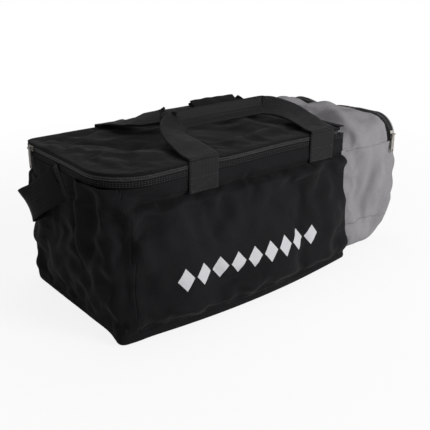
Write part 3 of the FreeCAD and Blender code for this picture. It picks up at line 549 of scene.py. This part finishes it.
# Sewing thread: bonded polyester in stitches 3 mm long. It runs in three lines along the zip, and in a box round
# each tab of the handles.
thread, surface = new_material("bonded_polyester_thread")
place = add_node(thread, "ShaderNodeTexCoord", {}).outputs["Object"]
lay = add_node(thread, "ShaderNodeTexWave", {"Vector": place, "Scale": 300}, bands_direction="DIAGONAL")
twist = add_node(thread, "ShaderNodeBump", {"Height": lay.outputs["Fac"], "Strength": 0.5, "Distance": 0.0002})
join_up(thread, twist.outputs["Normal"], surface.inputs["Normal"])
surface.inputs["Base Color"].default_value = linear("#2c2c2e")
surface.inputs["Roughness"].default_value = 0.55
STITCH = [(-1.5, 0), (-0.8, -0.36), (0.8, -0.36), (1.5, 0), (0.8, 0.36), (-0.8, 0.36)]


def sewn_line(name, path, across, body, lift=0.2):
    line = repeated(name, path, across, STITCH, 0.3, 4.6, lift)
    line.data.materials.append(thread)
    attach(line, body)


surface_out = outward_of(shell_plan(240, 70))
for number, level in enumerate((230.5, 233.5, 236.2)):
    path = np.column_stack([plan + surface_out * 0.7, np.full(len(plan), level)])
    sewn_line(f"zip_stitching_{number + 1}", path, upright, "bag")

# Handles: 56 mm woven polypropylene webbing. Each strap is sewn flat to the band at both ends, folds back over the
# lid, and narrows to a grip where it is creased lengthwise.
webbing, surface = new_material("woven_polypropylene_webbing")
lie = add_node(webbing, "ShaderNodeTexCoord", {}).outputs["UV"]
place = add_node(webbing, "ShaderNodeTexCoord", {}).outputs["Object"]
ribs = add_node(
    webbing, "ShaderNodeTexWave", {"Vector": lie, "Scale": 0.05, "Distortion": 0.3}, bands_direction="X")
picks = add_node(
    webbing, "ShaderNodeTexWave", {"Vector": lie, "Scale": 0.08, "Distortion": 0.3}, bands_direction="Y")
relief = add_node(
    webbing, "ShaderNodeMath", {0: ribs.outputs["Fac"], 1: picks.outputs["Fac"]}, operation="ADD").outputs[0]
raised = add_node(webbing, "ShaderNodeBump", {"Height": relief, "Strength": 0.6, "Distance": 0.0004})
join_up(webbing, raised.outputs["Normal"], surface.inputs["Normal"])
faded = add_node(webbing, "ShaderNodeTexNoise", {"Vector": place, "Scale": 30, "Detail": 4})
shade = add_node(
    webbing, "ShaderNodeMix", {0: faded.outputs["Fac"], 6: linear("#0b0b0c"), 7: linear("#141416")},
    data_type="RGBA")
join_up(webbing, shade.outputs[2], surface.inputs["Base Color"])
surface.inputs["Roughness"].default_value = 0.62
surface.inputs["Specular IOR Level"].default_value = 0.16
surface.inputs["Sheen Weight"].default_value = 0.05


# A strap through stations of (centre, across, width, thickness, how far it is creased), rounded between them
def strap(name, stations, body, nodes, material, uneven, seed, steps=6):
    count = len(stations)
    rows = np.array([np.concatenate([c, a, [w, t, crease]]) for c, a, w, t, crease in stations], float)
    smooth = []
    for k in range(count - 1):
        before, one, two, after = rows[max(k - 1, 0)], rows[k], rows[k + 1], rows[min(k + 2, count - 1)]
        for step in range(steps):
            s = step / steps
            smooth.append(0.5 * (
                2 * one + (two - before) * s + (2 * before - 5 * one + 4 * two - after) * s * s
                + (3 * one - before - 3 * two + after) * s ** 3))
    smooth = np.array(smooth + [rows[-1]])
    centre = smooth[:, :3]
    heading = np.gradient(centre, axis=0)
    heading /= np.linalg.norm(heading, axis=1)[:, None]
    side = smooth[:, 3:6] - heading * (smooth[:, 3:6] * heading).sum(1)[:, None]
    side /= np.linalg.norm(side, axis=1)[:, None]
    face = np.cross(side, heading)
    travelled = np.concatenate([[0], np.cumsum(np.linalg.norm(np.diff(centre, axis=0), axis=1))])
    over = np.linspace(-1, 1, 15)
    points, lies = [], []
    for row in range(len(smooth)):
        width, thick, crease = smooth[row, 6:]
        ring = [(u * (0.5 * width - 0.5), 0.5) for u in over] + [(0.5 * width, 0)]
        ring += [(u * (0.5 * width - 0.5), -0.5) for u in over[::-1]] + [(-0.5 * width, 0)]
        for u, level in ring:
            bend = crease * (abs(u) / (0.5 * width)) ** 2
            points.append(centre[row] + side[row] * u + face[row] * (level * thick + bend))
            lies.append((u, travelled[row]))
    points = np.array(points)
    face_of = np.repeat(face, 32, axis=0)
    wavy = uneven * crumple(points, 46, seed) + 0.4 * uneven * crumple(points, 19, seed + 1)
    points += face_of * wavy[:, None]
    faces = grid_faces(len(smooth), 32, closed=True)
    faces += [list(range(32))[::-1], [(len(smooth) - 1) * 32 + k for k in range(32)]]
    made = made_mesh(name, points, faces)
    chart = made.data.uv_layers.new(name="lie")
    for corner in made.data.loops:
        chart.data[corner.index].uv = lies[corner.vertex_index]
    made.data.materials.append(material)
    faces_outward(made)
    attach(made, body)
    if nodes:
        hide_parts(*nodes)
    return made


def carrying_loop(side):
    lean = math.radians(14)
    up_plane = np.array([0, -side * math.cos(lean), math.sin(lean)])
    normal = np.array([0, side * math.sin(lean), math.cos(lean)])
    root = np.array([0, side * 136.1, PIVOT])
    half = [(-142, 14, 0, 0.0), (-142, 34, 0, 0.02), (-142, 64, 0, 0.15)]
    for quarter in range(1, 5):
        angle = math.radians(quarter * 22.5)
        half.append((
            -142 + 54 * (1 - math.cos(angle)), 64 + 54 * math.sin(angle), quarter * 22.5, 0.15 + 0.2125 * quarter))
    whole = half + [(-31 - x, up, 180 - angle, turn) for x, up, angle, turn in reversed(half)]
    stations = []
    for x, up, angle, turn in whole:
        heading, twist = math.radians(angle), math.radians(45) * turn * side
        flat = np.array([1, 0, 0]) * math.cos(heading) - up_plane * math.sin(heading)
        across = flat * math.cos(twist) + normal * math.sin(twist)
        centre = root + np.array([x, 0, 0]) + up_plane * up
        stations.append((centre, across, 56 - 24 * turn, 2.4 + 2.4 * turn, 5.0 * turn ** 2))
    for x, place, across in ((-142, 0, stations[0][1]), (111, len(stations), stations[-1][1])):
        turned = [(root + np.array([x, side * 0.2, -1.2]), across, 56, 2.4, 0),
                  (root + np.array([x, -side * 1.2, 1.3]), across, 56, 2.4, 0)]
        if place:
            stations += turned[::-1]
        else:
            stations = turned + stations
    return stations


for name, side, seed in (("front_handle", -1, 41), ("back_handle", 1, 51)):
    loop = strap(
        name + "_webbing", carrying_loop(side), name, [name + "_strap"], webbing, 0.9, seed)
    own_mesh(loop)
    for end, x in (("left", -142), ("right", 111)):
        levels = (200.4, 206, 213, 222, 230, 238, 245, 250.4)
        depths = (135.4, 135.6, 135.6, 135.7, 136.0, 136.1, 136.1, 136.1)
        stations = [
            ((x, side * depth, level), (1, 0, 0), 56, 2.4, 0) for level, depth in zip(levels, depths)]
        strap(
            f"{name}_tab_{end}_webbing", stations, "bag", [f"{name}_tab_{end}"], webbing, 0.25,
            seed + 3, steps=3)
        box_path = [(-24, 203), (24, 203), (24, 224), (-24, 224), (-24, 203), (24, 224)]
        path = np.array([(x + a, side * 137.0, level) for a, level in box_path], float)
        path = np.concatenate([np.linspace(a, b, 12) for a, b in zip(path[:-1], path[1:])])
        run = np.gradient(path, axis=0)
        sewn_line(f"{name}_tab_{end}_stitching", path, np.cross([0, side, 0], run), "bag")

# Grip wrap: a sleeve of padded polyester round the back handle, foam between two layers, with a flap that closes
# over it with hook and loop. Both are turned with the grip.
grip_cloth = woven_polyester("padded_grip_polyester", "#0c0c0e", "#151517", 0.0008)[0]
turn = math.radians(31)
GRIP = np.array([6, 136.1 - 118 * math.cos(math.radians(14)), PIVOT + 118 * math.sin(math.radians(14))])
wide_way = np.array([0, math.cos(turn), math.sin(turn)])
high_way = np.array([0, -math.sin(turn), math.cos(turn)])


def grip_shell(name, half_wide, low, high, length, power, body, node):
    rings, sides = 40, 48
    points = []
    for ring in range(rings):
        share = -1 + 2 * ring / (rings - 1)
        pinch = (1 - abs(share) ** 7) ** 0.5 if abs(share) < 1 else 0.0
        puff = 1 + 0.05 * math.cos(share * 3 * math.pi)
        for k in range(sides):
            angle = 2 * math.pi * k / sides
            a = abs(math.cos(angle)) ** power * math.copysign(1, math.cos(angle))
            b = abs(math.sin(angle)) ** power * math.copysign(1, math.sin(angle))
            wide = a * half_wide * (0.9 + 0.1 * pinch)
            tall = (high + low) / 2 + b * (high - low) / 2 * puff * (0.45 + 0.55 * pinch)
            points.append(GRIP + np.array([share * length / 2, 0, 0]) + wide_way * wide + high_way * tall)
    points = np.array(points)
    points += np.stack([0 * points[:, 0], 0.4 * crumple(points, 26, 61), 0.5 * crumple(points, 22, 62)], 1)
    faces = grid_faces(rings, sides, closed=True)
    faces += [list(range(sides))[::-1], [(rings - 1) * sides + k for k in range(sides)]]
    made = made_mesh(name, points, faces)
    made.data.materials.append(grip_cloth)
    faces_outward(made)
    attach(made, body)
    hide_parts(node)
    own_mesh(made)
    return made


grip_shell("grip_wrap_padding", 18.3, -4.7, 4.7, 96, 0.55, "back_handle", "grip_wrap")
grip_shell("grip_wrap_flap_cloth", 18.0, 5.0, 6.9, 95, 0.4, "wrap_flap", "grip_wrap_flap")

# End grab handle: a loop of the same webbing sewn on a slant across the left end, which bows out and hangs slack
near, far = np.array([-304, 14, 206.0]), np.array([-304, 86, 160.0])
chord = far - near
rise = np.cross([1, 0, 0], chord / np.linalg.norm(chord))
stations = []
for share in np.linspace(0, 1, 13):
    centre = near + chord * share + np.array([-36, 0, -12]) * math.sin(math.pi * share)
    stations.append((centre, rise + np.array([0.25 * math.sin(2 * math.pi * share), 0, 0]), 56, 2.4, 1.5))
strap("end_handle_webbing", stations, "end_handle", ["end_handle_strap"], webbing, 1.0, 71)
run = chord / np.linalg.norm(chord)
for end, anchor, first, last in (("near", near, -15.5, -1.0), ("far", far, 1.0, 15.5)):
    stations = [(anchor + np.array([0.4, 0, 0]) + run * s, rise, 56, 2.4, 0) for s in np.linspace(first, last, 4)]
    strap(
        f"end_handle_tab_{end}_webbing", stations, "bag", [f"end_handle_tab_{end}"], webbing, 0.1, 75,
        steps=3)
    ends = [anchor + run * s + rise * r + np.array([-1.0, 0, 0]) for s, r in (
        (first + 2.5, -25), (last - 2.5, -25), (last - 2.5, 25), (first + 2.5, 25), (first + 2.5, -25))]
    path = np.concatenate([np.linspace(a, b, 12) for a, b in zip(ends[:-1], ends[1:])])
    sewn_line(f"end_handle_tab_{end}_stitching", path, np.cross([-1.0, 0, 0], np.gradient(path, axis=0)), "bag")

# End pocket: a separate compartment of grey woven polyester with rounded edges and a rounded toe, sewn on behind
# the divider. Its end is closed by a zip that runs up one side, over the top and down the other, and the upper part
# of the end folds out as a flap.
grey_cloth = woven_polyester("grey_woven_polyester", "#79777a", "#8b898c", 0.0011)[0]
POCKET_HALF, POCKET_TOP, ROUND, TOE, FLAP_LOW = 141, 250, 45, 60, 205


def pocket_ring(inset):
    half, low, high, r = POCKET_HALF - inset, inset, POCKET_TOP - inset, ROUND - inset * 0.6
    corner = np.radians(np.linspace(0, 90, 12))
    side = np.linspace(0, 1, 32)
    top = np.linspace(0, 1, 40)
    pieces = [
        np.stack([np.full(32, -half), low + r + (high - low - 2 * r) * side], 1),
        np.stack([-half + r - r * np.cos(corner), high - r + r * np.sin(corner)], 1),
        np.stack([-half + r + (2 * half - 2 * r) * top, np.full(40, float(high))], 1),
        np.stack([half - r + r * np.sin(corner), high - r + r * np.cos(corner)], 1),
        np.stack([np.full(32, half), high - r - (high - low - 2 * r) * side], 1),
        np.stack([half - r + r * np.cos(corner), low + r - r * np.sin(corner)], 1),
        np.stack([half - r - (2 * half - 2 * r) * top, np.full(40, float(low))], 1),
        np.stack([-half + r - r * np.sin(corner), low + r - r * np.cos(corner)], 1)]
    return np.concatenate([piece[:-1] for piece in pieces])


# The top of the pocket dips towards the back. All that lies along the zip follows this
def dip(points):
    high = eased(points[:, 2], 212, 246)
    return high * np.interp(points[:, 1], [-141, -110, -95, -59, 7, 60, 110, 141], [0, 0, 1, 1.5, -5.5, -6, -3, 0])


stages = [(x, 8 * (1 - eased(x, 167, 206)), 0.0) for x in np.linspace(PARTING - 1, 282, 25)]
stages += [(x, 0.0, 0.0) for x in (286.5, 291, 293.4, 295, 297.4, 300.5)]
stages += [(300.5 + 7 * math.sin(a), 7 * (1 - math.cos(a)), 0.0) for a in np.radians([30, 60, 90])]
stages += [(307.5 + 5 * share, 7.0, share) for share in (0.06, 0.16, 0.28, 0.4, 0.52, 0.64, 0.76, 0.88, 0.97)]
pocket, widths = [], []
for x, inset, share in stages:
    ring = pocket_ring(inset)
    toe = TOE - math.sqrt(max(TOE ** 2 - max(x - (302.5 - TOE), 0) ** 2, 0)) if x < 302.5 else TOE
    ring[:, 1] += toe * np.clip(1 - ring[:, 1] / 150, 0, 1)
    ring = ring * (1 - share) + np.array([0, 150]) * share
    pocket.append(np.column_stack([np.full(len(ring), float(x)), ring]))
    middle = np.array([0, 125])
    away = pocket_ring(20)
    away = ring - away * (1 - share) - middle * share
    length = np.maximum(np.linalg.norm(away, axis=1), 1e-6)[:, None]
    bulge_out = np.column_stack([np.zeros(len(ring)), away / length])
    if x > 300.5:
        cap = 1.0 if inset >= 7 else inset / 7
        bulge_out = bulge_out * (1 - cap) + np.array([cap, 0, 0])
    widths.append(bulge_out)
RING = len(pocket[0])
pocket, widths = np.concatenate(pocket), np.concatenate(widths)
x, y, z = pocket.T
calm = np.exp(-(((x - 294) / 16) ** 2)) * eased(z, 196, 210)
away_from_slider = 1 - np.exp(-(((y + 138) / 20) ** 2 + ((z - 216) / 26) ** 2 + ((x - 294) / 20) ** 2))
swell = 4.2 * crumple(pocket, 105, 81) + 2.2 * crumple(pocket, 48, 82) + 2
swell += fold(pocket, [(190, -141, 196), (205, -141, 160), (212, -141, 110), (222, -141, 60)], 12, -4)
swell += fold(pocket, [(262, -141, 190), (256, -141, 140), (262, -141, 90)], 12, 4)
swell += fold(pocket, [(236, -141, 205), (238, -141, 150), (230, -141, 90), (240, -141, 30)], 9, -3)
swell += fold(pocket, [(176, -120, 246), (214, -60, 250), (262, -20, 250), (288, 30, 250)], 18, 6)
swell += fold(pocket, [(182, 10, 250), (226, 40, 250), (276, 70, 250)], 16, -6)
swell += fold(pocket, [(196, -132, 226), (240, -130, 230), (284, -128, 232)], 10, 5)
swell *= (1 - 0.92 * calm) * eased(x, 170, 200) * away_from_slider
swell *= np.where((z < 40) & (x < 300), 0.25, 1)
pocket = pocket + widths * swell[:, None]
creased = np.exp(-(((z - FLAP_LOW) / 12) ** 2)) * eased(x, 301, 304)
pocket[:, 0] -= creased * np.maximum(pocket[:, 0] - 303, 0)
pocket[:, 2] += dip(pocket) * eased(x, 230, 285)
pocket[:, 2] = np.maximum(pocket[:, 2], 0.3)
faces = grid_faces(len(stages), RING, closed=True)
faces.append([(len(stages) - 1) * RING + k for k in range(RING)])
faces = [face[::-1] for face in faces]
middles = np.array([np.mean([[x[k], y[k], z[k]] for k in f], axis=0) for f in faces])
mx, my, mz = middles.T
areas = np.where(mz < TOE, 0, np.where(my < 0, 1, 2))
areas = np.where((mx > 300.5) & (mz >= TOE), 3, areas)
areas = np.where((mz > FLAP_LOW) & (mx < 282), 4, areas)
areas = np.where((mz > FLAP_LOW) & (mx > 282) & (mx < 291), 5, areas)
areas = np.where((mz > FLAP_LOW) & (mx > 291) & (mx < 297.4), 9, areas)
areas = np.where((mz > FLAP_LOW) & (mx > 297.4) & (mx < 300.5), 7, areas)
areas = np.where((mz > FLAP_LOW) & (mx > 300.5), 8, areas)
held = np.maximum.reduce([
    1 - eased(x, 172, 186), calm, 1 - away_from_slider, 1 - eased(z, 2, 14), eased(x, 280, 288) * (x < 301),
    creased])
pocket = settled(pocket, faces, held, 0.6, 0.03, 4)
grey_shell = smooth_surface("grey_shell", pocket, faces, areas)
for area, name in (
        (0, "pocket_base_panel"), (1, "pocket_front_panel"), (2, "pocket_back_panel"), (3, "pocket_end_panel"),
        (4, "pocket_top_panel")):
    cut_panel(grey_shell, area, name + "_cloth", 0.002, grey_cloth, "bag", [name])
for area, body, tape in ((5, "bag", "pocket_zip_tape"), (7, "pocket_flap", "flap_zip_tape")):
    cut_panel(grey_shell, area, tape + "_cloth", 0.0014, zip_tape_cloth, body, [tape])
flap = cut_panel(
    grey_shell, 8, "pocket_flap_cloth", 0.002, grey_cloth, None, ["pocket_flap_panel"])
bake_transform(flap)
bpy.data.objects.remove(grey_shell)

# Pocket zip: the same nylon coil, up the front side, over the top and down the back
ring = pocket_ring(1.0)
route = ring[(ring[:, 1] > FLAP_LOW)]
order = np.argsort(np.arctan2(route[:, 1] - 190, -route[:, 0]))
route = route[order]
route = np.concatenate([[[-140.0, FLAP_LOW + 1]], route, [[140.0, FLAP_LOW + 1]]])
for name, x, body, node in (
        ("pocket_zip_teeth", 292.3, "bag", "pocket_zip_coil"),
        ("flap_zip_teeth", 296.1, "pocket_flap", "flap_zip_coil")):
    path = np.column_stack([np.full(len(route), x), route])
    path[:, 2] += dip(path)
    row = repeated(name, path, np.tile([1.0, 0, 0], (len(path), 1)), TOOTH, 1.4, 2.4, 0)
    row.data.materials.append(nylon_teeth)
    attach(row, body)
    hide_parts(node)

# Sliders and pullers: die-cast zinc with a dull nickel plate, worn where fingers hold them. The solids' shapes are
# right, and the plate is lightly scratched.
cast_metal, surface = new_material("nickel_plated_zinc")
place = add_node(cast_metal, "ShaderNodeTexCoord", {}).outputs["Object"]
wear = add_node(cast_metal, "ShaderNodeTexNoise", {"Vector": place, "Scale": 160, "Detail": 4})
scratches = add_node(cast_metal, "ShaderNodeTexNoise", {"Vector": place, "Scale": 900, "Detail": 2})
plate = add_node(
    cast_metal, "ShaderNodeMix", {0: wear.outputs["Fac"], 6: linear("#8d8780"), 7: linear("#b4b0aa")},
    data_type="RGBA")
join_up(cast_metal, plate.outputs[2], surface.inputs["Base Color"])
scored = add_node(
    cast_metal, "ShaderNodeBump", {"Height": scratches.outputs["Fac"], "Strength": 0.3, "Distance": 0.0001})
join_up(cast_metal, scored.outputs["Normal"], surface.inputs["Normal"])
surface.inputs["Metallic"].default_value = 0.9
surface.inputs["Roughness"].default_value = 0.42
for name in ("end", "back", "pocket"):
    refinish(name + "_slider", cast_metal)
    refinish(name + "_puller", cast_metal)

# Studio: a pale floor that keeps a soft shadow and turns white further out, a white surround, a large lamp at the
# right front, and weak ones at the left and above.
floor_paint, surface = new_material("pale_floor")
seen = add_node(floor_paint, "ShaderNodeLightPath", {}).outputs
middle = add_node(floor_paint, "ShaderNodeTexCoord", {}).outputs["Object"]
outward = add_node(floor_paint, "ShaderNodeVectorMath", {0: middle}, operation="LENGTH").outputs["Value"]
share = add_node(floor_paint, "ShaderNodeMapRange", {"Value": outward, 1: 0.45, 2: 1.2, 3: 0.86, 4: 1.0})
from_camera = add_node(
    floor_paint, "ShaderNodeMath", {0: seen["Is Camera Ray"], 1: share.outputs[0]},
    operation="MULTIPLY").outputs[0]
white = add_node(floor_paint, "ShaderNodeEmission", {"Color": (1, 1, 1, 1), "Strength": 1.0})
surface.inputs["Base Color"].default_value = linear("#f2f2f2")
surface.inputs["Roughness"].default_value = 0.9
surface.inputs["Specular IOR Level"].default_value = 0.1
blend = add_node(
    floor_paint, "ShaderNodeMixShader", {0: from_camera, 1: surface.outputs["BSDF"], 2: white.outputs["Emission"]})
join_up(floor_paint, blend.outputs[0], floor_paint.node_tree.nodes["Material Output"].inputs["Surface"])
bpy.ops.object.select_all(action="DESELECT")
bpy.ops.mesh.primitive_circle_add(vertices=96, radius=6, fill_type="NGON", location=(0, 0, 0))
floor = bpy.context.object
floor.name = "floor"
floor.data.materials.append(floor_paint)

world = bpy.data.worlds.new("studio")
bpy.context.scene.world = world
world.use_nodes = True
sky = world.node_tree.nodes["Background"]
rays = world.node_tree.nodes.new("ShaderNodeLightPath")
most = world.node_tree.nodes.new("ShaderNodeMath")
most.operation = "MAXIMUM"
world.node_tree.links.new(rays.outputs["Is Camera Ray"], most.inputs[0])
world.node_tree.links.new(rays.outputs["Is Transmission Ray"], most.inputs[1])
level = world.node_tree.nodes.new("ShaderNodeMapRange")
level.inputs[3].default_value = 0.28
level.inputs[4].default_value = 1.0
world.node_tree.links.new(most.outputs[0], level.inputs[0])
world.node_tree.links.new(level.outputs[0], sky.inputs["Strength"])
sky.inputs["Color"].default_value = (1, 1, 1, 1)


def lamp(name, place, size, power):
    light = bpy.data.lights.new(name, "AREA")
    light.shape = "DISK"
    light.size = size
    light.energy = power
    stand = bpy.data.objects.new(name, light)
    bpy.context.scene.collection.objects.link(stand)
    stand.location = place
    stand.rotation_euler = (Vector((0, 0, 0.1)) - Vector(place)).to_track_quat("-Z", "Y").to_euler()


lamp("front_lamp", (1.1, -2.5, 1.1), 1.2, 66)
lamp("left_lamp", (-2.4, -0.9, 1.0), 1.4, 2.5)
lamp("top_lamp", (0.2, 0.6, 2.6), 1.6, 18)

bpy.context.scene.view_settings.view_transform = "Standard"
